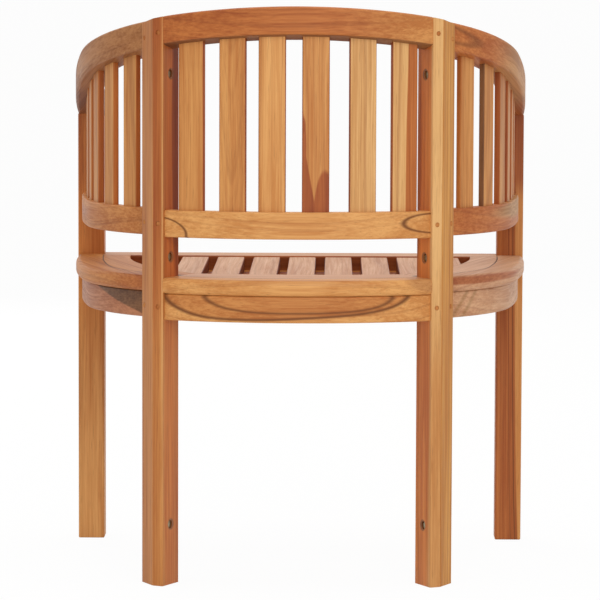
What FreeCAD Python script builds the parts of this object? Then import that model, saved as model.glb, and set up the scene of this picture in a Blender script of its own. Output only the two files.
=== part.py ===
# Teak armchair whose curved, slatted back sweeps down into the arms.
# Millimetres, +Z up, the seat faces -Y, the origin is on the floor under the middle of the chair.
# The left side (+X) is modelled and the right side is its mirror image.
import FreeCAD, Part
import math
import os
import Sketcher
from FreeCAD import Placement, Rotation, Vector

LEFT_TURN = 1
RIGHT_TURN = -1
# An upright edge leans less than this share of its length
LEAN = 0.01
# The long edges of a rail exceed its width or height this many times
LONG = 1.5
# An edge lies on an arc when its middle is this near, mm
NEAR = 0.5

# Driving dimensions: name, value, meaning
SIZES = [
    ("overall_height", 810, "floor to the crown of the top rail"),
    ("back_slope", 18, "fall of the top rail from its crown towards the front, degrees"),
    ("arm_slope", 14.45, "fall of the arms towards the front, degrees"),
    ("post_slope", 11, "fall of the top of a post, degrees"),
    ("post_turn", 45, "heading of that fall, from the front towards the outside, degrees"),
    ("top_rail_height", 39.5, "upright height of top rail and arms"),
    ("top_rail_width", 30, "plan width of the top rail"),
    ("arm_width", 40, "plan width of the arms"),
    ("back_radius", 395, "centre line of the back in plan"),
    ("back_half_angle", 27, "from the middle of the back to the inner face of a post, degrees"),
    ("side_radius", 273, "centre line of the sides in plan, from the post on"),
    ("front_radius", 1314, "centre line of the sides in plan, on to the front leg"),
    ("front_turn", 10, "how far the sides turn along that flatter arc, degrees"),
    ("side_start_angle", 40, "direction of the post face that carries the side rails, degrees"),
    ("arm_overhang", 5, "arm past the front leg"),
    ("leg_proud", 1.5, "post corner outside the top rail"),
    ("side_leg_proud", 5, "post corner outside the arm"),
    ("back_leg_thickness", 15.5, "leg that carries the back rails"),
    ("back_leg_depth", 46, "the same leg, front to back"),
    ("side_leg_face", 38, "outer face of the leg that carries the side rails"),
    ("side_leg_face_angle", 63.5, "slant of that face in plan, degrees"),
    ("side_leg_depth", 46, "face of that leg that meets the side rails"),
    ("post_drop", 2.2, "top of a post below the top rail"),
    ("front_leg_width", 39, "front leg, left to right"),
    ("front_leg_depth", 39, "front leg, front to back"),
    ("front_leg_tenon", 22, "side of the square tenon on top of the front leg"),
    ("front_leg_tenon_height", 18, "how far that tenon enters the arm"),
    ("lower_rail_top", 526, "floor to the top of the lower rails"),
    ("lower_rail_height", 37.5, "upright height of the lower rails"),
    ("lower_rail_width", 22, "plan width of the lower rails"),
    ("back_slat_count", 6, "slats in the back"),
    ("side_slat_count", 7, "slats in each side"),
    ("back_slat_width", 37.5, "back slats"),
    ("side_slat_width", 30, "side slats"),
    ("slat_thickness", 9, "back and side slats"),
    ("back_slat_end_gap", 17.5, "between a post and the next back slat"),
    ("side_slat_end_gap", 31, "between a post and the next side slat"),
    ("slat_tenon", 12, "how far a slat enters its rails"),
    ("middle_slat_shift", 5, "middle pair of back slats off the even spacing, to the left"),
    ("seat_height", 432, "floor to the top of the seat frame"),
    ("seat_thickness", 22, "border and frame of the seat"),
    ("border_width", 39, "border of the seat"),
    ("rear_frame_width", 53.5, "rear frame of the seat at its ends"),
    ("side_frame_width", 41, "side frame of the seat at the front rail"),
    ("front_rail_depth", 64, "front rail of the seat, front to back"),
    ("opening_rear_radius", 850, "rear edge of the seat opening in plan"),
    ("opening_side_radius", 575, "side edges of the seat opening in plan"),
    ("seam_gap", 0.4, "gap in the seam between border and frame"),
    ("seat_slat_count", 9, "slats in the seat"),
    ("seat_slat_width", 40, "seat slats"),
    ("seat_slat_side_gap", 20.5, "between the outer seat slats and the side frames, at the front rail"),
    ("seat_slat_shift", 3.5, "seat slats off the middle, to the right"),
    ("seat_slat_thickness", 20, "seat slats"),
    ("seat_slat_end_gap", 0.5, "between the ends of a seat slat and the frame"),
    ("apron_height", 37, "aprons under the seat"),
    ("apron_width", 22, "curved aprons in plan"),
    ("front_apron_width", 20, "straight front apron in plan"),
    ("bearer_width", 38, "cross bearers under the seat slats"),
    ("bearer_height", 22, "cross bearers"),
    ("bearer_lap", 9, "how far a bearer enters the side apron"),
    ("front_bearer_setback", 70, "front bearer behind the front legs"),
    ("middle_bearer_setback", 212, "middle bearer behind the front legs"),
    ("rear_bearer_setback", 310, "rear bearer behind the front legs"),
    ("tenon_thickness", 12, "rail and apron tenons"),
    ("tenon_height", 22, "rail and apron tenons"),
    ("back_tenon_length", 12, "tenons in the back legs"),
    ("side_tenon_length", 16, "tenons in the side legs and front legs"),
    ("tenon_root", 4, "tenon carried on inside its rail, where the end of the rail is curved"),
    ("tenon_wall", 3, "wood left between two tenons in a front leg"),
    ("fit_gap", 0.15, "play around tenons, slats and pins"),
    ("peg_diameter", 6.5, "tenon pegs"),
    ("peg_setback", 7.75, "pegs from the shoulder of the tenon"),
    ("peg_recess", 1.5, "outer end of a peg below the face"),
    ("peg_reach", 9, "pegs past the middle of the tenon"),
    ("bolt_diameter", 6, "frame bolts"),
    ("bolt_length", 28, "frame bolts under the head"),
    ("bolt_head_diameter", 10, "frame bolts"),
    ("bolt_head_height", 5, "frame bolts"),
    ("bolt_recess", 7, "depth of the head's recess in the back leg"),
    ("bolt_recess_diameter", 11.5, "the head's recess"),
    ("insert_diameter", 10, "threaded inserts in the side leg"),
    ("insert_length", 15, "threaded inserts"),
    ("bolt_setback", 21.5, "frame bolts from the outer face of the back leg"),
    ("upper_bolt_drop", 57, "upper frame bolts below the joint of the top rail"),
    ("middle_bolt_rise", 28, "middle frame bolts above the seat"),
    ("lower_bolt_height", 85, "floor to the lower frame bolts"),
    ("screw_diameter", 4, "slat screws"),
    ("screw_length", 30, "slat screws with their heads"),
    ("screw_head_diameter", 8, "slat screws"),
    ("screw_head_height", 3, "slat screws"),
    ("rail_round", 4, "long edges of top rail and arms"),
    ("lower_rail_round", 2.5, "long edges of lower rails and aprons"),
    ("leg_round", 2, "outer edges of legs and feet"),
    ("seam_round", 0.8, "edges along the seam of a post"),
    ("slat_round", 2, "long edges of slats"),
    ("border_round", 7, "outer edge of the seat border"),
    ("cut_margin", 20, "cuts run this far past the wood"),
]

# Places in plan and height, worked out from the sizes: name, formula
PLACES = [
    ("post_radius", "size.back_radius + size.top_rail_width / 2 + size.leg_proud"),
    ("arm_radius", "size.side_radius + size.arm_width / 2"),
    ("reach_side", "post_radius * cos(size.back_half_angle)"
                   " - size.back_leg_thickness * sin(size.back_half_angle)"
                   " - size.side_leg_face * sin(size.side_leg_face_angle)"
                   " - (arm_radius + size.side_leg_proud) * cos(size.side_start_angle)"),
    ("front_reach", "(size.front_radius - size.side_radius) * sin(size.front_turn)"),
    ("reach_front", "reach_side - front_reach - size.front_leg_depth - size.arm_overhang"),
    ("back_y", "-(post_radius + reach_front) / 2"),
    ("rear_y", "back_y + post_radius"),
    ("corner_x", "post_radius * sin(size.back_half_angle)"),
    ("corner_y", "back_y + post_radius * cos(size.back_half_angle)"),
    ("inner_x", "corner_x - size.back_leg_depth * sin(size.back_half_angle)"),
    ("inner_y", "corner_y - size.back_leg_depth * cos(size.back_half_angle)"),
    ("seam_x", "corner_x + size.back_leg_thickness * cos(size.back_half_angle)"),
    ("seam_y", "corner_y - size.back_leg_thickness * sin(size.back_half_angle)"),
    ("seam_end_x", "seam_x - size.back_leg_depth * sin(size.back_half_angle)"),
    ("seam_end_y", "seam_y - size.back_leg_depth * cos(size.back_half_angle)"),
    ("outer_x", "seam_x + size.side_leg_face * cos(size.side_leg_face_angle)"),
    ("outer_y", "seam_y - size.side_leg_face * sin(size.side_leg_face_angle)"),
    ("tip_x", "outer_x - size.side_leg_depth * sin(size.side_start_angle)"),
    ("tip_y", "outer_y - size.side_leg_depth * cos(size.side_start_angle)"),
    ("arm_start_x", "outer_x - size.side_leg_proud * sin(size.side_start_angle)"),
    ("arm_start_y", "outer_y - size.side_leg_proud * cos(size.side_start_angle)"),
    ("side_x", "arm_start_x - arm_radius * sin(size.side_start_angle)"),
    ("side_y", "arm_start_y - arm_radius * cos(size.side_start_angle)"),
    ("turn_end", "90 - size.front_turn"),
    ("front_x", "side_x - (size.front_radius - size.side_radius) * cos(size.front_turn)"),
    ("leg_joint_x", "front_x + size.front_radius"),
    ("half_width", "leg_joint_x + size.arm_width / 2"),
    ("leg_inner_x", "half_width - size.front_leg_width"),
    ("leg_y", "side_y - front_reach"),
    ("leg_front_y", "leg_y - size.front_leg_depth"),
    ("leg_middle_x", "half_width - size.front_leg_width / 2"),
    ("leg_middle_y", "leg_y - size.front_leg_depth / 2"),
    ("front_y", "leg_front_y - size.arm_overhang"),
    ("crown_y", "back_y + size.back_radius + size.top_rail_width / 2"),
    ("arm_low", "size.overall_height - tan(size.arm_slope) * (crown_y - front_y)"
                " - size.top_rail_height - size.cut_margin"),
    ("seat_under", "size.seat_height - size.seat_thickness"),
    ("slat_top", "seat_under + size.seat_slat_thickness"),
    ("apron_low", "seat_under - size.apron_height"),
    ("lower_rail_low", "size.lower_rail_top - size.lower_rail_height"),
    ("bearer_low", "seat_under - size.bearer_height"),
    ("back_joint_x", "size.back_radius * sin(size.back_half_angle)"),
    ("back_joint_y", "back_y + size.back_radius * cos(size.back_half_angle)"),
    ("side_joint_x", "side_x + size.side_radius * sin(size.side_start_angle)"),
    ("side_joint_y", "side_y + size.side_radius * cos(size.side_start_angle)"),
    ("front_apron_y", "leg_y - size.side_tenon_length - size.tenon_wall - size.tenon_thickness / 2"),
    ("top_rail_joint", "size.overall_height - tan(size.back_slope) * (crown_y - back_joint_y)"
                       " - size.top_rail_height / 2"),
    ("arm_joint", "size.overall_height - tan(size.arm_slope) * (crown_y - side_joint_y)"
                  " - size.top_rail_height / 2"),
    ("lower_rail_joint", "size.lower_rail_top - size.lower_rail_height / 2"),
    ("apron_joint", "seat_under - size.apron_height / 2"),
    ("arm_under_leg", "size.overall_height - tan(size.arm_slope) * (crown_y - leg_middle_y)"
                      " - size.top_rail_height"),
    ("post_height", "size.overall_height - tan(size.back_slope) * (crown_y - corner_y) - size.post_drop"),
    ("corner_along", "corner_y * cos(size.post_turn) - corner_x * sin(size.post_turn)"),
    ("leg_tenon_top", "arm_under_leg + size.front_leg_tenon_height"),
    ("frame_radius", "post_radius - size.border_width - size.seam_gap"),
    ("opening_radius", "frame_radius - size.rear_frame_width"),
    ("opening_x", "opening_radius * sin(size.back_half_angle)"),
    ("opening_y", "back_y + opening_radius * cos(size.back_half_angle)"),
    ("front_rail_y", "leg_front_y + size.front_rail_depth"),
    ("frame_offset", "size.arm_width / 2 - size.border_width - size.seam_gap"),
    ("frame_front_x", "front_x + sqrt(pow(size.front_radius + frame_offset; 2)"
                      " - pow(front_rail_y - leg_y; 2))"),
    ("front_rail_end", "min(leg_inner_x - size.seam_gap; frame_front_x)"),
    ("frame_inner_x", "frame_front_x - size.side_frame_width"),
    ("side_arc", "(turn_end - size.side_start_angle) * pi / 180 * size.side_radius"),
    ("front_arc", "size.front_turn * pi / 180 * size.front_radius"),
    ("back_arc", "2 * size.back_half_angle * pi / 180 * size.back_radius"),
    ("back_slat_gap", "(back_arc - 2 * size.back_slat_end_gap - size.back_slat_count * size.back_slat_width)"
                      " / (size.back_slat_count - 1)"),
    ("side_slat_gap", "(side_arc + front_arc - size.side_slat_end_gap"
                      " - size.side_slat_count * size.side_slat_width) / size.side_slat_count"),
    ("seat_slat_pitch", "(2 * (frame_inner_x - size.seat_slat_side_gap) - size.seat_slat_width)"
                        " / (size.seat_slat_count - 1)"),
    ("bolt_x", "(post_radius - size.bolt_setback) * sin(size.back_half_angle)"),
    ("bolt_y", "back_y + (post_radius - size.bolt_setback) * cos(size.back_half_angle)"),
    ("upper_bolt", "top_rail_joint - size.upper_bolt_drop"),
    ("middle_bolt", "size.seat_height + size.middle_bolt_rise"),
]

doc = FreeCAD.newDocument("banana_chair")


def add_sheet(name):
    return doc.addObject("Spreadsheet::Sheet", name)


def add_cell(sheet, row, alias, content, note=""):
    sheet.set(f"A{row}", note or alias.replace("_", " "))
    sheet.set(f"B{row}", content)
    sheet.setAlias(f"B{row}", alias)


size_sheet = add_sheet("size")
for row_number, (size_name, size_value, meaning) in enumerate(SIZES, start=1):
    add_cell(size_sheet, row_number, size_name, str(size_value), meaning)
doc.recompute()

BACK_SLATS = range(1, int(size_sheet.back_slat_count) + 1)
SIDE_SLATS = range(1, int(size_sheet.side_slat_count) + 1)
SEAT_SLATS = range(1, int(size_sheet.seat_slat_count) + 1)
BEARERS = ("front", "middle", "rear")


def slat_places():
    """Place and heading of every upright slat and of every bearer."""
    middle_pair = (len(BACK_SLATS) // 2, len(BACK_SLATS) // 2 + 1)
    for number in BACK_SLATS:
        name = f"back_slat_{number}"
        shift = " - size.middle_slat_shift" if number in middle_pair else ""
        along = slat_along("back", number) + shift
        yield f"{name}_turn", f"size.back_half_angle - ({along}) / size.back_radius * 180 / pi"
        yield f"{name}_x", f"size.back_radius * sin({name}_turn)"
        yield f"{name}_y", f"back_y + size.back_radius * cos({name}_turn)"
    for number in SIDE_SLATS:
        name = f"side_slat_{number}"
        yield f"{name}_along", slat_along("side", number)
        near_turn = f"min({name}_along; side_arc) / size.side_radius * 180 / pi"
        far_turn = f"max(0; {name}_along - side_arc) / size.front_radius * 180 / pi"
        yield f"{name}_near", f"size.side_start_angle + {near_turn}"
        yield f"{name}_far", f"turn_end + {far_turn}"
        yield f"{name}_turn", f"{name}_near + {name}_far - turn_end"
        yield f"{name}_x", (f"side_x + size.side_radius * sin({name}_near)"
                            f" + size.front_radius * (sin({name}_far) - sin(turn_end))")
        yield f"{name}_y", (f"side_y + size.side_radius * cos({name}_near)"
                            f" + size.front_radius * (cos({name}_far) - cos(turn_end))")
    for bearer in BEARERS:
        name = f"{bearer}_bearer"
        yield f"{name}_y", f"leg_y + size.{bearer}_bearer_setback"
        near = round_reach("side", f"{name}_y - side_y")
        far = round_reach("front", f"{name}_y - leg_y")
        bend = "side_y + (size.side_radius - size.apron_width / 2) * cos(turn_end)"
        yield f"{name}_end", f"({name}_y > {bend} ? {near} : {far}) + size.bearer_lap"


def slat_along(family, number):
    """Way from the post to the middle of a slat along the centre line."""
    gaps = f"size.{family}_slat_end_gap + {family}_slat_gap * {number - 1}"
    return f"{gaps} + size.{family}_slat_width * {number - 0.5}"


def round_reach(arc, depth):
    """Place across of the inner face of a side apron, at a depth from the middle of the arc."""
    return f"{arc}_x + sqrt(pow(size.{arc}_radius - size.apron_width / 2; 2) - pow({depth}; 2))"


place_sheet = add_sheet("place")
for row_number, (place_name, formula) in enumerate(PLACES + list(slat_places()), start=1):
    add_cell(place_sheet, row_number, place_name, "=" + formula)
    doc.recompute()


def worth(formula):
    """Number that a formula over the two sheets gives."""
    return float(size_sheet.evalExpression(formula))


# Heights of the sloping tops at a place in depth
def back_top(y):
    return f"(size.overall_height - tan(size.back_slope) * (place.crown_y - ({y})))"


def back_under(y):
    return f"({back_top(y)} - size.top_rail_height)"


def arm_top(y):
    return f"(size.overall_height - tan(size.arm_slope) * (place.crown_y - ({y})))"


def arm_under(y):
    return f"({arm_top(y)} - size.top_rail_height)"


def post_top(along):
    return f"(place.post_height - tan(size.post_slope) * (place.corner_along - ({along})))"


# Sketch and feature helpers
def new_body(label):
    body = doc.addObject("PartDesign::Body", label)
    body.Label = label
    return body


def attach(sketch, body, plane, offset, turn_axis):
    """Fix a sketch to an origin plane of its body, moved and turned by formulas."""
    planes = {feature.Role: feature for feature in body.Origin.OriginFeatures}
    sketch.AttachmentSupport = (planes[plane], [""])
    sketch.MapMode = "FlatFace"
    x, y, z, turn = offset
    base = Vector(worth(x), worth(y), worth(z))
    sketch.AttachmentOffset = Placement(base, Rotation(turn_axis, worth(turn)))
    sketch.setExpression("AttachmentOffset.Base.x", x)
    sketch.setExpression("AttachmentOffset.Base.y", y)
    sketch.setExpression("AttachmentOffset.Base.z", z)
    if turn != "0":
        sketch.setExpression("AttachmentOffset.Rotation.Angle", turn)


def bind(sketch, constraint, formula):
    index = sketch.addConstraint(constraint)
    sketch.setExpression(f"Constraints[{index}]", formula)


def arc_between(start, end, turn, radius):
    chord = end - start
    left = Vector(-chord.y, chord.x, 0).normalize()
    sagitta_side = math.sqrt(radius ** 2 - (chord.Length / 2) ** 2)
    centre = (start + end) * 0.5 + left * (turn * sagitta_side)
    first, last = (start, end) if turn == LEFT_TURN else (end, start)
    first_angle = math.atan2(first.y - centre.y, first.x - centre.x)
    last_angle = math.atan2(last.y - centre.y, last.x - centre.x)
    return Part.ArcOfCircle(Part.Circle(centre, Vector(0, 0, 1), radius), first_angle, last_angle)


def add_loop(sketch, corners):
    """Closed loop; a corner is (x, y), with (turn, radius) added where an arc leads to the next corner."""
    points = [Vector(worth(corner[0]), worth(corner[1]), 0) for corner in corners]
    edges = []
    for index, corner in enumerate(corners):
        start = points[index]
        end = points[(index + 1) % len(points)]
        if len(corner) == 2:
            edge = sketch.addGeometry(Part.LineSegment(start, end))
            edges.append((edge, 1, 2))
            continue
        turn, radius = corner[2:]
        edge = sketch.addGeometry(arc_between(start, end, turn, worth(radius)))
        edges.append((edge, 1, 2) if turn == LEFT_TURN else (edge, 2, 1))
        bind(sketch, Sketcher.Constraint("Radius", edge, worth(radius)), radius)
    for index, corner in enumerate(corners):
        edge, first, _ = edges[index]
        before, _, before_last = edges[index - 1]
        sketch.addConstraint(Sketcher.Constraint("Coincident", before, before_last, edge, first))
        bind(sketch, Sketcher.Constraint("DistanceX", -1, 1, edge, first, points[index].x), corner[0])
        bind(sketch, Sketcher.Constraint("DistanceY", -1, 1, edge, first, points[index].y), corner[1])


def plan(body, name, *loops, at=("0", "0", "0", "0")):
    """Level sketch: x, y, height and turn about the vertical."""
    sketch = body.newObject("Sketcher::SketchObject", name)
    attach(sketch, body, "XY_Plane", at, Vector(0, 0, 1))
    for corners in loops:
        add_loop(sketch, corners)
    return sketch


def side_view(body, name, corners, turn="0"):
    """Upright sketch in the YZ plane, turned about the vertical."""
    sketch = body.newObject("Sketcher::SketchObject", name)
    attach(sketch, body, "YZ_Plane", ("0", "0", "0", turn), Vector(0, 1, 0))
    add_loop(sketch, corners)
    return sketch


def rectangle(x_low, x_high, y_low, y_high):
    return [(x_low, y_low), (x_high, y_low), (x_high, y_high), (x_low, y_high)]


def pad(body, sketch, length):
    feature = body.newObject("PartDesign::Pad", sketch.Name + "_pad")
    feature.Profile = sketch
    feature.setExpression("Length", length)
    doc.recompute()
    return feature


def pocket(body, sketch, length, both_ways=False, upward=False):
    wood_before = body.Shape.Volume
    feature = body.newObject("PartDesign::Pocket", sketch.Name + "_cut")
    feature.Profile = sketch
    feature.setExpression("Length", length)
    if both_ways:
        feature.SideType = "Symmetric"
    feature.Reversed = upward
    doc.recompute()
    if not body.Shape.Volume < wood_before:
        raise RuntimeError(f"{sketch.Name} cuts nothing in {body.Label}")
    return feature


def round_edges(body, name, radius, chosen):
    """Fillet on the edges of the body that the test picks."""
    base = body.Tip
    edges = [f"Edge{number}" for number, edge in enumerate(base.Shape.Edges, start=1) if chosen(edge)]
    if not edges:
        raise RuntimeError(f"{name} finds no edge in {body.Label}")
    fillet = body.newObject("PartDesign::Fillet", name)
    fillet.Base = (base, edges)
    fillet.setExpression("Radius", radius)
    doc.recompute()


def is_upright(edge):
    first, last = edge.Vertexes[0].Point, edge.Vertexes[-1].Point
    return math.hypot(first.x - last.x, first.y - last.y) < LEAN * edge.Length


def near_plan(edge, x, y):
    middle = edge.CenterOfMass
    return math.hypot(middle.x - worth(x), middle.y - worth(y)) < worth("size.leg_round")


def middle_of(edge):
    return edge.valueAt((edge.FirstParameter + edge.LastParameter) / 2)


def on_arc(edge, x, y, radius):
    """Level edge on an upright round face."""
    middle = middle_of(edge)
    distance = math.hypot(middle.x - worth(x), middle.y - worth(y))
    return not is_upright(edge) and abs(distance - worth(radius)) < NEAR


def drill(body, name, x, y, z, heading, diameter, depth):
    """Level round hole whose mouth faces the heading, counted from +Y towards +X."""
    sketch = body.newObject("Sketcher::SketchObject", name)
    attach(sketch, body, "XZ_Plane", (x, z, f"-({y})", f"180 - ({heading})"), Vector(0, 1, 0))
    circle = sketch.addGeometry(Part.Circle(Vector(0, 0, 0), Vector(0, 0, 1), worth(diameter) / 2))
    sketch.addConstraint(Sketcher.Constraint("Coincident", circle, 3, -1, 1))
    bind(sketch, Sketcher.Constraint("Diameter", circle, worth(diameter)), diameter)
    return pocket(body, sketch, depth)


def put(thing, x, y, z, turn="0"):
    thing.Placement = Placement(Vector(worth(x), worth(y), worth(z)), Rotation(Vector(0, 0, 1), worth(turn)))
    thing.setExpression("Placement.Base.x", x)
    thing.setExpression("Placement.Base.y", y)
    thing.setExpression("Placement.Base.z", z)
    if turn != "0":
        thing.setExpression("Placement.Rotation.Angle", turn)


nodes = []


def keep(thing):
    nodes.append(thing)
    return thing


def mirrored(thing, label):
    twin = doc.addObject("Part::Mirroring", label)
    twin.Label = label
    twin.Source = thing
    twin.Normal = Vector(1, 0, 0)
    return twin


def keep_pair(body, name):
    """A left piece and its mirror image."""
    body.Label = f"{name}_left"
    keep(body)
    keep(mirrored(body, f"{name}_right"))


# Outlines in plan
def back_sector(inner, outer):
    """Band round the middle of the back, between the inner faces of the two posts."""
    across = "sin(size.back_half_angle)"
    along = "cos(size.back_half_angle)"
    return [
        (f"({outer}) * {across}", f"place.back_y + ({outer}) * {along}", LEFT_TURN, outer),
        (f"-({outer}) * {across}", f"place.back_y + ({outer}) * {along}"),
        (f"-({inner}) * {across}", f"place.back_y + ({inner}) * {along}", RIGHT_TURN, inner),
        (f"({inner}) * {across}", f"place.back_y + ({inner}) * {along}"),
    ]


def side_point(offset, heading):
    """Point beside the centre line of the side, on the arc next to the post."""
    radius = f"(size.side_radius + {offset})"
    return f"place.side_x + {radius} * sin({heading})", f"place.side_y + {radius} * cos({heading})"


def side_band(inner, outer, front_end=()):
    """Band along the side, from the post over two arcs to the front leg and on to any front end."""
    start = "size.side_start_angle"
    return [
        (*side_point(outer, start), RIGHT_TURN, f"size.side_radius + {outer}"),
        (*side_point(outer, "place.turn_end"), RIGHT_TURN, f"size.front_radius + {outer}"),
        (f"place.leg_joint_x + {outer}", "place.leg_y"),
        *front_end,
        (f"place.leg_joint_x + {inner}", "place.leg_y", LEFT_TURN, f"size.front_radius + {inner}"),
        (*side_point(inner, "place.turn_end"), LEFT_TURN, f"size.side_radius + {inner}"),
        side_point(inner, start),
    ]


def band_edges(radius, width):
    return f"{radius} - {width} / 2", f"{radius} + {width} / 2"


def half_each_way(width):
    return f"-{width} / 2", f"{width} / 2"


# Joints: x, y and turn of the direction in which a tenon points
BACK_JOINT = ("place.back_joint_x", "place.back_joint_y", "-size.back_half_angle")
SIDE_JOINT = ("place.side_joint_x", "place.side_joint_y", "180 - size.side_start_angle")
LEG_JOINT = ("place.leg_joint_x", "place.leg_y", "-90")
FRONT_APRON_JOINT = ("place.leg_inner_x", "place.front_apron_y", "0")
RAIL_HEIGHTS = {"lower_rail": "place.lower_rail_joint", "apron": "place.apron_joint"}


def tenon(body, name, joint, height, length):
    x, y, turn = joint
    half = "size.tenon_thickness / 2"
    shape = rectangle("-size.tenon_root", length, f"-{half}", half)
    sketch = plan(body, name, shape, at=(x, y, f"{height} - size.tenon_height / 2", turn))
    pad(body, sketch, "size.tenon_height")


def mortise(body, name, joint, height, length):
    x, y, turn = joint
    half = "(size.tenon_thickness / 2 + size.fit_gap)"
    shape = rectangle("-size.tenon_root", f"{length} + size.fit_gap", f"-{half}", half)
    sketch = plan(body, name, shape, at=(x, y, f"{height} + size.tenon_height / 2 + size.fit_gap", turn))
    pocket(body, sketch, "size.tenon_height + 2 * size.fit_gap")


def mirrored_joint(joint):
    x, y, turn = joint
    return f"-{x}", y, f"180 - ({turn})"


# Pegs: x and y of the middle of the pegged tenon, heading of the peg's mouth, distance out to the face
BACK_PEG = (
    "(place.back_joint_x + size.peg_setback * cos(size.back_half_angle))",
    "(place.back_joint_y - size.peg_setback * sin(size.back_half_angle))",
    "size.back_half_angle",
    "(place.post_radius - size.back_radius)",
)
SIDE_PEG_X = "(place.side_joint_x - size.peg_setback * cos(size.side_start_angle))"
SIDE_PEG_Y = "(place.side_joint_y + size.peg_setback * sin(size.side_start_angle))"
SIDE_PEG = (
    SIDE_PEG_X,
    SIDE_PEG_Y,
    "size.side_start_angle",
    f"(((place.seam_x - {SIDE_PEG_X}) * sin(size.side_leg_face_angle)"
    f" + (place.seam_y - {SIDE_PEG_Y}) * cos(size.side_leg_face_angle))"
    " / cos(size.side_leg_face_angle - size.side_start_angle))",
)
LEG_PEG = (
    "place.leg_joint_x",
    "(place.leg_y - size.peg_setback)",
    "90",
    "(place.half_width - place.leg_joint_x)",
)


def along_heading(x, y, heading, distance):
    return f"({x} + {distance} * sin({heading}))", f"({y} + {distance} * cos({heading}))"


def peg_hole(body, name, peg, height, mirror=False):
    x, y, heading, face = peg
    mouth_x, mouth_y = along_heading(x, y, heading, f"({face} + size.cut_margin)")
    depth = f"{face} + size.cut_margin + size.peg_reach + size.fit_gap"
    if mirror:
        mouth_x = f"-{mouth_x}"
        heading = f"-({heading})"
    drill(body, name, mouth_x, mouth_y, height, heading, "size.peg_diameter + 2 * size.fit_gap", depth)


def turned(label, plane, axis, corners):
    """Round piece turned about one axis of its sketch."""
    body = new_body(label)
    sketch = body.newObject("Sketcher::SketchObject", label + "_profile")
    attach(sketch, body, plane, ("0", "0", "0", "0"), Vector(0, 0, 1))
    add_loop(sketch, corners)
    turning = body.newObject("PartDesign::Revolution", label + "_turning")
    turning.Profile = sketch
    turning.ReferenceAxis = (sketch, [axis])
    turning.Angle = 360
    doc.recompute()
    return body


def group(label, pieces):
    """Like fasteners as one node of separate solids."""
    compound = doc.addObject("Part::Compound", label)
    compound.Label = label
    compound.Links = pieces
    return keep(compound)


# Upright slats and the mortises that take them
def slat_outline(name, play):
    family = name.split("_")[0]
    half_width = f"(size.{family}_slat_width / 2 + {play})"
    half_thickness = f"(size.slat_thickness / 2 + {play})"
    return rectangle(f"-{half_width}", half_width, f"-{half_thickness}", half_thickness)


def slat(name, rail_under):
    body = new_body(name)
    pad(body, plan(body, name + "_section", slat_outline(name, "0")),
        f"{rail_under(f'place.{name}_y')} + 2 * size.slat_tenon - size.lower_rail_top")
    round_edges(body, name + "_edges", "size.slat_round", is_upright)
    foot = "size.lower_rail_top - size.slat_tenon"
    put(body, f"place.{name}_x", f"place.{name}_y", foot, f"-place.{name}_turn")
    return body


def slat_mortises(rail, names, height, depth):
    for name in names:
        top = height(f"place.{name}_y")
        at = (f"place.{name}_x", f"place.{name}_y", top, f"-place.{name}_turn")
        sketch = plan(rail, f"{rail.Name}_{name}", slat_outline(name, "size.fit_gap"), at=at)
        pocket(rail, sketch, depth)


def upper_mortises(rail, names, rail_under):
    slat_mortises(rail, names, lambda y: f"{rail_under(y)} + size.slat_tenon + size.fit_gap",
                  "size.slat_tenon + size.cut_margin")


def lower_mortises(rail, names):
    slat_mortises(rail, names, lambda y: "size.lower_rail_top", "size.slat_tenon + size.fit_gap")


BACK_SLAT_NAMES = [f"back_slat_{number}" for number in BACK_SLATS]
SIDE_SLAT_NAMES = [f"side_slat_{number}" for number in SIDE_SLATS]


# Reach of cuts that take in the whole chair
ACROSS = "(place.half_width + size.cut_margin)"
FRONT_END = "(place.front_y - size.cut_margin)"
REAR_END = "(place.rear_y + size.cut_margin)"


# Sloping rails
def cut_above(body, height, turn="0"):
    """Take off what stands above a sloping line, given as a function of depth."""
    over = "(size.overall_height + 2 * size.cut_margin)"
    corners = [
        (FRONT_END, height(FRONT_END)),
        (REAR_END, height(REAR_END)),
        (REAR_END, over),
        (FRONT_END, over),
    ]
    sketch = side_view(body, body.Name + "_top", corners, turn)
    pocket(body, sketch, f"2 * ({ACROSS} + place.rear_y)", both_ways=True)


def cut_below(body, height):
    below = "(place.arm_low - 2 * size.cut_margin)"
    corners = [
        (FRONT_END, height(FRONT_END)),
        (FRONT_END, below),
        (REAR_END, below),
        (REAR_END, height(REAR_END)),
    ]
    pocket(body, side_view(body, body.Name + "_under", corners), f"2 * {ACROSS}", both_ways=True)


def sloping_rail(label, corners, rail_top, rail_under):
    body = new_body(label)
    sketch = plan(body, label + "_plan", corners, at=("0", "0", "place.arm_low", "0"))
    pad(body, sketch, "size.overall_height + size.cut_margin - place.arm_low")
    cut_above(body, rail_top)
    cut_below(body, rail_under)
    long_edge = LONG * worth("size.arm_width")
    round_edges(body, label + "_edges", "size.rail_round", lambda edge: edge.Length > long_edge)
    return body


def top_rail():
    inner, outer = band_edges("size.back_radius", "size.top_rail_width")
    body = sloping_rail("top_rail_center", back_sector(inner, outer), back_top, back_under)
    for side, joint in (("left", BACK_JOINT), ("right", mirrored_joint(BACK_JOINT))):
        tenon(body, f"top_rail_tenon_{side}", joint, "place.top_rail_joint", "size.back_tenon_length")
        peg_hole(body, f"top_rail_peg_{side}", BACK_PEG, "place.top_rail_joint", mirror=side == "right")
    upper_mortises(body, BACK_SLAT_NAMES, back_under)
    keep(body)


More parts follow.
